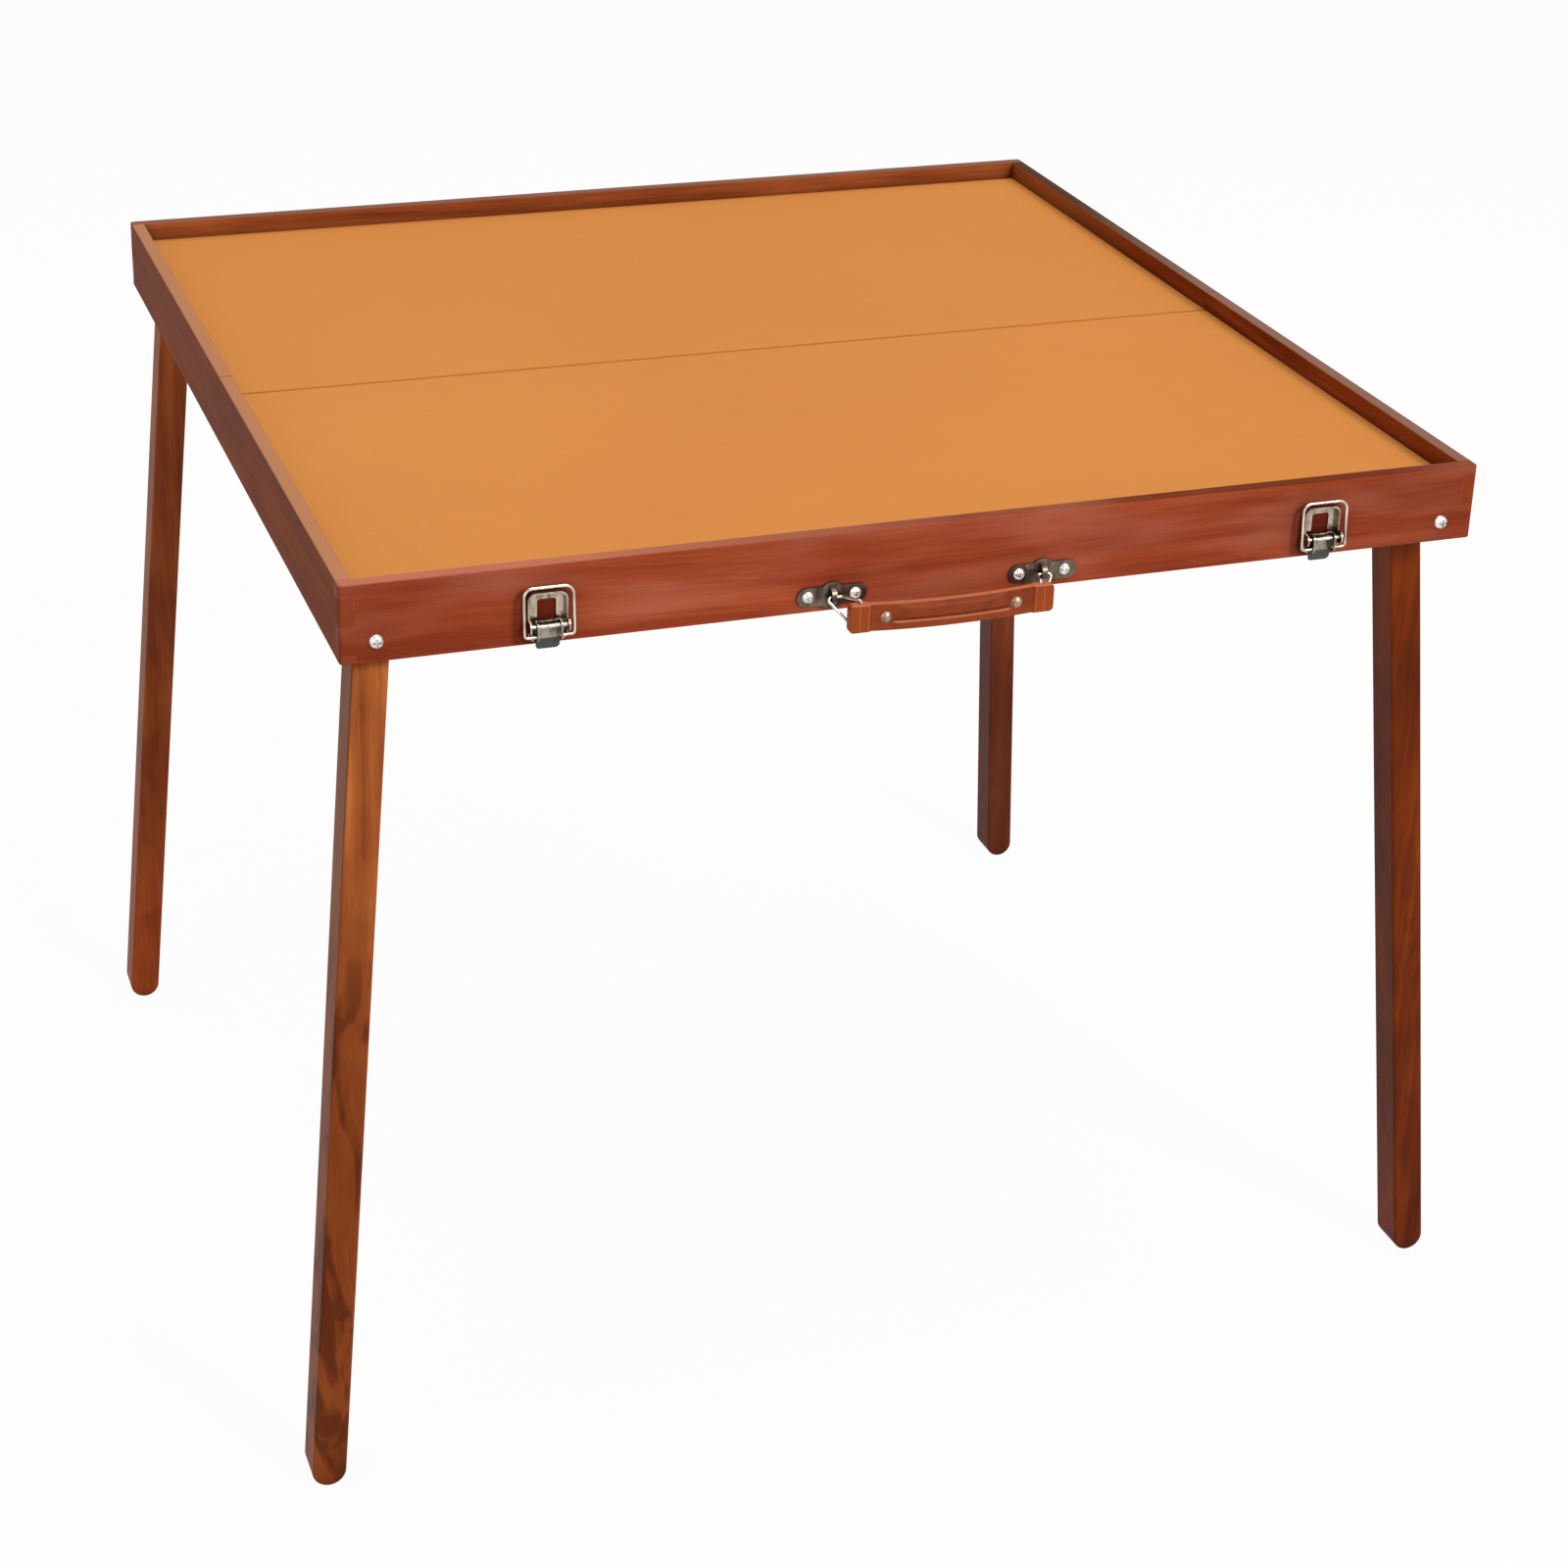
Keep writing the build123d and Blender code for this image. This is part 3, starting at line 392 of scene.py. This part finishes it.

# The front apron has pinker clouds where the stain is thin. Behind and close beside each latch plate
# the wood is painted a deep red: a painted shadow of the plate and painted shade in its window.
_, tree, shader, shade, where, _ = front_wood
cloud_place = add(tree, "ShaderNodeCombineXYZ")
for axis, size in (("X", 7.0), ("Z", 34.0)):
    tree.links.new(math(tree, "MULTIPLY", where.outputs[axis], size), cloud_place.inputs[axis])
cloud = add(tree, "ShaderNodeTexNoise", Vector=cloud_place.outputs[0], Scale=1.0, Detail=2.0)
shade = tint(tree, shade, span(tree, cloud.outputs["Fac"], 0.44, 0.66), 0.5, "A8604C")
# The painted shadow lies a little left of the plate. It fades between two distances from its middle.
shadow_left = 0.0015
shadow_fade_across, shadow_fade_up = (0.0205, 0.0125), (0.0225, 0.0150)
for side in ("left", "right"):
    low, high = (Vector(corner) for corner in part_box(f"{side}_latch_base"))
    across = math(tree, "SUBTRACT", where.outputs["X"], (low.x + high.x) / 2 - shadow_left)
    upward = math(tree, "SUBTRACT", where.outputs["Z"], (low.z + high.z) / 2)
    across, upward = math(tree, "ABSOLUTE", across), math(tree, "ABSOLUTE", upward)
    latch_shadow = math(tree, "MULTIPLY", span(tree, across, *shadow_fade_across), span(tree, upward, *shadow_fade_up))
    shade = tint(tree, shade, latch_shadow, 0.72, "4A0C08")
tree.links.new(shade, shader.inputs["Base Color"])

# The panels and the playing surface: thin board let into the rim's grooves,
# faced with a close ochre cloth that is glued down and rounded over at the seam.
panel_tones = ("C8A070", "B48A5C", "96704A")
panel_wood = stained_wood("panel board", along_x, panel_tones, 0.5, 0.3, (5.0, 0, 0), (1, 0, 0),
                          panel_tones[2], 0.1)
dress(panel_wood[0], "front_panel", "rear_panel")
cloth, tree, shader = new_material("playing cloth")
place = tree.nodes.new("ShaderNodeTexCoord")
thread_pitch = 0.0011
seam_half = 0.0003
threads = []
for axis in ("X", "Y"):
    wave = add(tree, "ShaderNodeTexWave", {"wave_type": "BANDS", "bands_direction": axis},
               Vector=place.outputs["Object"], Scale=0.314 / thread_pitch, Distortion=0.6, Detail=1.0)
    threads.append(wave.outputs["Fac"])
weave = math(tree, "ADD", threads[0], threads[1])
soft = add(tree, "ShaderNodeTexNoise", Vector=place.outputs["Object"], Scale=2.2, Detail=3.0)
slub_place = add(tree, "ShaderNodeMapping", Vector=place.outputs["Object"], Scale=(40.0, 260.0, 1.0))
slub = add(tree, "ShaderNodeTexNoise", Vector=slub_place.outputs[0], Scale=1.0, Detail=2.0)
tone = math(tree, "MULTIPLY_ADD", soft.outputs["Fac"], 0.8, math(tree, "MULTIPLY", slub.outputs["Fac"], 0.2))
cloth_tone = blend(tree, span(tree, tone, 0.3, 0.7), colour("C37D3C"), colour("CA8541"))
seam_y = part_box("front_playing_surface")[1][1]
split = add(tree, "ShaderNodeSeparateXYZ", Vector=place.outputs["Object"])
# Painted shade darkens the cloth along the seam between the two halves.
from_seam = math(tree, "ABSOLUTE", math(tree, "SUBTRACT", split.outputs["Y"], seam_y + seam_half))
cloth_tone = tint(tree, cloth_tone, span(tree, from_seam, 0.0028, 0.0008), 0.65, "94501E")
# Painted shade darkens the cloth in the corners beside the rims.
cloth_corner_shade = use(tree, corner_shade, Reach=0.009)
cloth_tone = tint(tree, cloth_tone, cloth_corner_shade.outputs["Mask"], 0.2, "9A5524")
tree.links.new(cloth_tone, shader.inputs["Base Color"])
bump = add(tree, "ShaderNodeBump", Strength=0.3, Distance=0.00015, Height=weave)
tree.links.new(bump.outputs[0], shader.inputs["Normal"])
shader.inputs["Roughness"].default_value = 0.85
shader.inputs["Specular IOR Level"].default_value = 0.12
dress(cloth, "front_playing_surface", "rear_playing_surface")

# The legs: straight square-edged sticks with round ends, stained like the boards but blotchier,
# each hung on a bolt through the long board.
# leg, tones, how its tone turns, strength of its blotches and of its dark figure
leg_looks = (
    ("front_left", ("CA7C40", "A2582A", "783818"), (("Z", 0.54, 0.42, 0.75, "743410"),), 1.5, 0.7),
    ("front_right", ("883A0C", "642604", "441603"), (), 1.3, 0.35),
    ("rear_left", ("B4642E", "8A4420", "5C240E"), (("Z", 0.36, 0.10, 0.45, "963A18"),), 1.2, 0.2),
    ("rear_right", ("A65832", "823E22", "5A2414"), (("Z", 0.42, 0.20, 0.7, "4C2012"),), 1.1, 0.2),
)
for index, (name, tones, changes, blotch, figured) in enumerate(leg_looks):
    leg_wood = stained_wood(f"{name} leg wood", along_z, tones, 0.7, blotch, (index * 2.3, index * 1.1, 0.2),
                            (0, 0, 1), "5A240E", 0.06, changes=changes)
    leg_material, tree, shader, shade, where, faces = leg_wood
    # Dark knotty figure in the lower half, in another place on each leg.
    figure_place = add(tree, "ShaderNodeCombineXYZ")
    for axis, size in (("X", 32.0), ("Y", 32.0), ("Z", 9.5)):
        scaled = math(tree, "MULTIPLY_ADD", where.outputs[axis], size, index * 3.7)
        tree.links.new(scaled, figure_place.inputs[axis])
    figure = add(tree, "ShaderNodeTexNoise", Vector=figure_place.outputs[0], Scale=1.0, Detail=2.0,
                 Distortion=2.0)
    knotty = math(tree, "MULTIPLY", span(tree, figure.outputs["Fac"], 0.47, 0.60),
                  span(tree, where.outputs["Z"], 0.50, 0.38))
    shade = tint(tree, shade, knotty, figured, "441806")
    if name == "front_left":
        # Painted shade darkens the left face of the nearest leg towards the top.
        left_face_shade = math(tree, "MULTIPLY", span(tree, faces.outputs["X"], -0.5, -0.9),
                         span(tree, where.outputs["Z"], 0.42, 0.56))
        shade = tint(tree, shade, left_face_shade, 0.85, "6E381C")
    tree.links.new(shade, shader.inputs["Base Color"])
    dress(leg_material, f"{name}_leg")

# The leg bolts with their nuts and washers: turned steel, nickel-plated. The bolts go through
# the long boards and the legs swing on them. The handle brackets' domed screws are plated alike.
scuffs = Group(
    "metal scuffs",
    [("Polish", "NodeSocketFloat", 0.2), ("Clean", "NodeSocketColor", None),
     ("Dull", "NodeSocketColor", None)],
    [("Color", "NodeSocketColor"), ("Roughness", "NodeSocketFloat"), ("Height", "NodeSocketFloat")],
)
tree = scuffs.tree
place = tree.nodes.new("ShaderNodeTexCoord")
smear_place = add(tree, "ShaderNodeMapping", Vector=place.outputs["Object"], Scale=(260.0, 260.0, 70.0))
smear = add(tree, "ShaderNodeTexNoise", Vector=smear_place.outputs[0], Scale=1.0, Detail=4.0)
fine = add(tree, "ShaderNodeTexNoise", Vector=place.outputs["Object"], Scale=1400.0, Detail=2.0)
dulled = span(tree, smear.outputs["Fac"], 0.40, 0.68)
scuffs.give(blend(tree, dulled, scuffs.given("Clean"), scuffs.given("Dull")), "Color")
scuffs.give(math(tree, "MULTIPLY_ADD", smear.outputs["Fac"], 0.25, scuffs.given("Polish")), "Roughness")
scuffs.give(fine.outputs["Fac"], "Height")


def plated(name, clean, dull, polish, rub, edge_tone="F2ECE2", dark_below=None):
    """Metal with scuffs and brighter rubbed edges. Below a given height it is dark and not metallic."""
    material, tree, shader = new_material(name)
    surface = use(tree, scuffs, Polish=polish, Clean=colour(clean), Dull=colour(dull))
    rubbed = use(tree, edge, Radius=0.0005)
    shade = blend(tree, math(tree, "MULTIPLY", rubbed.outputs["Mask"], rub), surface.outputs["Color"],
                  colour(edge_tone))
    # Painted shade darkens the metal in corners and where it meets other parts.
    painted_shade = use(tree, corner_shade, Reach=0.006)
    shade = tint(tree, shade, painted_shade.outputs["Mask"], 0.75, "241C16")
    roughness = surface.outputs["Roughness"]
    if dark_below is None:
        shader.inputs["Metallic"].default_value = 1.0
    else:
        place = tree.nodes.new("ShaderNodeTexCoord")
        split = add(tree, "ShaderNodeSeparateXYZ", Vector=place.outputs["Object"])
        bare = span(tree, split.outputs["Z"], dark_below, dark_below + 0.0007)
        shade = blend(tree, bare, colour("34342F"), shade)
        roughness = math(tree, "MULTIPLY_ADD", math(tree, "SUBTRACT", 1.0, bare), 0.25, roughness)
        tree.links.new(bare, shader.inputs["Metallic"])
    tree.links.new(shade, shader.inputs["Base Color"])
    tree.links.new(roughness, shader.inputs["Roughness"])
    bump = add(tree, "ShaderNodeBump", Strength=0.12, Distance=0.0001, Height=surface.outputs["Height"])
    tree.links.new(bump.outputs[0], shader.inputs["Normal"])
    return material


nickel = plated("nickel plate", "F8F4EE", "C0B6AA", 0.16, 0.6)
for name in ("leg_bolts", "leg_nuts", "leg_washers"):
    dress(nickel, f"front_{name}", f"rear_{name}")
dress(nickel, "handle_bracket_screws")

# The two toggle latches on the front apron and their strikes on the rear one: pressed steel with
# small screws, bails of bright wire, and levers whose finger tabs are dark and not metallic below a line.
pressed = plated("pressed latch plate", "C8B8A4", "7C6C5A", 0.14, 1.0)
dress(pressed, "left_latch_base", "right_latch_base", "left_latch_strike", "right_latch_strike")
dress(pressed, "latch_base_screws", "latch_strike_screws")
tab_length = 0.0082
tab_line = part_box("left_latch_lever")[0][2] + tab_length
lever_steel = plated("latch lever", "A89C8E", "5A5046", 0.14, 0.9, dark_below=tab_line)
wire = plated("bright wire", "E6DCCE", "B0A294", 0.10, 0.5)
for side in ("left", "right"):
    dress(lever_steel, f"{side}_latch_lever")
    dress(wire, f"{side}_latch_bail", f"{side}_latch_pin")

# The seam hinges: brass leaves screwed under the middle rails, with a pin through each.
brass = plated("hinge brass", "C9A45C", "8A6A38", 0.18, 0.3)
dress(brass, "hinge_pins")
for tray in ("front", "rear"):
    dress(brass, f"{tray}_hinge_leaves", f"{tray}_hinge_screws")

# The handle brackets and rings: bronzed steel plates screwed to the front apron,
# each with a wire ring that joins it to the handle.
bronzed = plated("bronzed steel", "7A6C60", "443A32", 0.26, 0.7, "B0A294")
for side in ("left", "right"):
    dress(bronzed, f"{side}_handle_bracket")
    dress(wire, f"{side}_handle_ring")

# The handle: a strap of tan leather folded round a wire ring at each end, with a padded welt
# between two bronzed rivets. The strap hangs a little between its rings.
strap_low, strap_high = (Vector(corner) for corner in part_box("leather_handle"))
strap_half = (strap_high.x - strap_low.x) / 2
strap_middle = (strap_high.x + strap_low.x) / 2
strap_top = strap_high.z
strap_width, strap_depth = 0.0210, 0.0046
strap_sag = 0.0022
loop_length, loop_depth = 0.0150, 0.0074
strap_plane = strap_high.y - loop_depth / 2
corner_round, rim_round = 0.0036, 0.0013
# Heights across the strap count from its middle line. The padding is full between two of them,
# and the flange begins at the lip below it.
welt_half, welt_rise, welt_ease = 0.0450, 0.0032, 0.020
full_from, full_to, welt_top = 0.0016, 0.0062, 0.0104
lip_place, lip_width = -0.0036, 0.0006
flange_rise, flange_ease = 0.0016, 0.005
flange_wear, worn_from, worn_to = 0.35, 0.006, 0.0105
fold_depth, fold_place, fold_half = 0.0006, 0.0008, 0.0007
wave_height = 0.00016


def ease(value, low, high):
    """A smooth step from 0 at low to 1 at high."""
    share = min(max((value - low) / (high - low), 0.0), 1.0)
    return share * share * (3 - 2 * share)


def strap_front(x, rise):
    """How far the strap's face stands out of its plain face, at a place along and across it."""
    from_end = strap_half - abs(x)
    inside = ease(welt_half + 0.001 - abs(x), 0.0, flange_ease)
    padded = ease(welt_half + 0.002 - abs(x), 0.0, welt_ease)
    welt = welt_rise * padded * ease(rise, lip_place - 0.0004, full_from) * ease(-rise, -welt_top, -full_to)
    flange = flange_rise * inside * ease(-rise, -lip_place, lip_width - lip_place)
    flange *= 1 - flange_wear * ease(-rise, worn_from, worn_to)
    fold = -fold_depth * max(0.0, 1 - ((from_end - loop_length - fold_place) / fold_half) ** 2)
    wave = wave_height * noise.noise(Vector((x * 90, rise * 130, 3.1)))
    return welt + flange + fold + wave


def quarter_round(out, rise, radius, start, first):
    """Points of a quarter turn in the strap's section, from its centre, radius, start and first step."""
    turns = [start + pi / 2 * step / corner_steps for step in range(first, corner_steps)]
    return [(out + radius * cos(turn), rise + radius * sin(turn)) for turn in turns]


# The strap is a skin over sections along its length, which stand closer at the rounded ends.
length_steps, face_steps, back_steps, edge_steps, corner_steps = 190, 60, 12, 3, 6
ends = [0.0, 0.0001, 0.0004, 0.0008, 0.0013, 0.0020, 0.0028]
ends_reach = 0.003
bm = bmesh.new()
stations = [strap_half * (1 - 2 * i / length_steps) for i in range(1, length_steps)]
stations = [strap_half - d for d in ends] + [x for x in stations if abs(x) < strap_half - ends_reach]
stations += [d - strap_half for d in reversed(ends)]
rings = []
for x in stations:
    from_end = max(strap_half - abs(x), 0.0)
    pulled = corner_round - sqrt(max(corner_round**2 - max(corner_round - from_end, 0.0) ** 2, 0.0))
    thinned = rim_round - sqrt(max(rim_round**2 - max(rim_round - from_end, 0.0) ** 2, 0.0))
    half = strap_width / 2 - pulled
    folded = 1 - ease(from_end, loop_length, loop_length + 0.0016)
    deep = (strap_depth + (loop_depth - strap_depth) * folded) / 2 - thinned
    curve = min(rim_round, deep * 0.9)
    drop = strap_sag * (1 - (min(abs(x), strap_half - loop_length) / (strap_half - loop_length)) ** 2)
    flat, inner = half - curve, deep - curve
    outline = []
    for step in range(face_steps + 1):
        rise = -flat + 2 * flat * step / face_steps
        outline.append((deep + strap_front(x, rise), rise))
    outline += quarter_round(inner, flat, curve, 0.0, 1)
    outline += [(inner - 2 * inner * step / edge_steps, half) for step in range(1, edge_steps)]
    outline += quarter_round(-inner, flat, curve, pi / 2, 0)
    outline += [(-deep, flat - 2 * flat * step / back_steps) for step in range(back_steps + 1)]
    outline += quarter_round(-inner, -flat, curve, pi, 1)
    outline += [(2 * inner * step / edge_steps - inner, -half) for step in range(edge_steps)]
    outline += quarter_round(inner, -flat, curve, -pi / 2, 0)
    middle = strap_top - strap_width / 2 - drop
    places = [(strap_middle + x, strap_plane - out, middle + rise) for out, rise in outline]
    rings.append([bm.verts.new(place) for place in places])
count = len(rings[0])
for first, second in zip(rings, rings[1:]):
    for i in range(count):
        j = (i + 1) % count
        bm.faces.new((first[i], first[j], second[j], second[i]))
bm.faces.new(reversed(rings[0]))
bm.faces.new(rings[-1])
bmesh.ops.recalc_face_normals(bm, faces=bm.faces[:])
strap_mesh = bpy.data.meshes.new("handle_strap")
bm.to_mesh(strap_mesh)
bm.free()
strap_mesh.polygons.foreach_set("use_smooth", [True] * len(strap_mesh.polygons))
strap = bpy.data.objects.new("handle_strap", strap_mesh)
bpy.context.scene.collection.objects.link(strap)

leather, tree, shader = new_material("handle leather")
place = tree.nodes.new("ShaderNodeTexCoord")
hide = add(tree, "ShaderNodeTexVoronoi", {"feature": "DISTANCE_TO_EDGE"}, Vector=place.outputs["Object"],
           Scale=1300.0)
hide_soft = add(tree, "ShaderNodeTexNoise", Vector=place.outputs["Object"], Scale=900.0, Detail=3.0)
wear = add(tree, "ShaderNodeTexNoise", Vector=place.outputs["Object"], Scale=70.0, Detail=3.0)
shade = blend(tree, span(tree, wear.outputs["Fac"], 0.3, 0.7), colour("782E10"), colour("8C3C14"))
split = add(tree, "ShaderNodeSeparateXYZ", Vector=place.outputs["Object"])
along = math(tree, "ABSOLUTE", math(tree, "SUBTRACT", split.outputs["X"], strap_middle))
# How high a place lies above the strap's middle line, which sags between the loops.
hung = math(tree, "MINIMUM", math(tree, "DIVIDE", along, strap_half - loop_length), 1.0)
hung = math(tree, "POWER", hung, 2.0)
middle_line = math(tree, "MULTIPLY_ADD", hung, strap_sag, strap_top - strap_width / 2 - strap_sag)
rise = math(tree, "SUBTRACT", split.outputs["Z"], middle_line)
between = span(tree, along, welt_half + 0.001, welt_half - 0.003)
# The flange below the welt is paler, and painted shade darkens the hollow above it.
shade = tint(tree, shade, span(tree, rise, lip_place, lip_place - 0.0008), 0.45, "963F12")
hollow = math(tree, "MULTIPLY", span(tree, rise, 0.0010, lip_place + 0.0008),
              span(tree, rise, lip_place, lip_place + 0.0006))
shade = tint(tree, shade, math(tree, "MULTIPLY", hollow, between), 0.45, "4E1A08")
# The loops at the ends are a paler tan, and all of the hide has a fine dark net.
loop_start = strap_half - loop_length
at_loop = span(tree, along, loop_start - fold_place, loop_start + fold_place)
shade = tint(tree, shade, at_loop, 0.75, "984410")
shade = tint(tree, shade, span(tree, hide.outputs["Distance"], 0.12, 0.0), 0.3, "571E0C")
# Painted shade darkens the leather in its creases and against the fittings.
painted_shade = use(tree, corner_shade, Reach=0.004)
shade = tint(tree, shade, painted_shade.outputs["Mask"], 0.4, "3A1208")
# Painted highlights brighten the upper edge, the lip of the flange and two lines on each loop.
lip_off = math(tree, "ABSOLUTE", math(tree, "SUBTRACT", rise, lip_place - 0.0003))
lip = math(tree, "MULTIPLY", span(tree, lip_off, 0.0007, 0.0003), between)
upper = span(tree, rise, 0.0095, 0.0103)
painted_highlight = math(tree, "MAXIMUM", math(tree, "MULTIPLY", lip, 0.75), math(tree, "MULTIPLY", upper, 0.6))
for line in (0.5, 0.95):
    line_off = math(tree, "ABSOLUTE", math(tree, "SUBTRACT", along, strap_half - loop_length * line))
    on_line = math(tree, "MULTIPLY", span(tree, line_off, 0.0006, 0.0002), 0.3)
    painted_highlight = math(tree, "MAXIMUM", painted_highlight, on_line)
shade = blend(tree, painted_highlight, shade, colour("CE7C56"))
# Painted shade darkens the lower edge.
shade = tint(tree, shade, span(tree, rise, -0.0092, -0.0102), 0.6, "3E1808")
tree.links.new(shade, shader.inputs["Base Color"])
skin = math(tree, "MULTIPLY_ADD", span(tree, hide.outputs["Distance"], 0.0, 0.2), 0.7,
            math(tree, "MULTIPLY", hide_soft.outputs["Fac"], 0.5))
bump = add(tree, "ShaderNodeBump", Strength=0.3, Distance=0.00015, Height=skin)
tree.links.new(bump.outputs[0], shader.inputs["Normal"])
tree.links.new(math(tree, "MULTIPLY_ADD", wear.outputs["Fac"], 0.3, 0.28), shader.inputs["Roughness"])
shader.inputs["Specular IOR Level"].default_value = 0.15
strap_mesh.materials.append(leather)
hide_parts("leather_handle")
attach(strap, "handle")
rivet_bronze = plated("rivet bronze", "C0A088", "74543E", 0.22, 0.8, "E8D0BC")
dress(rivet_bronze, "handle_rivets")
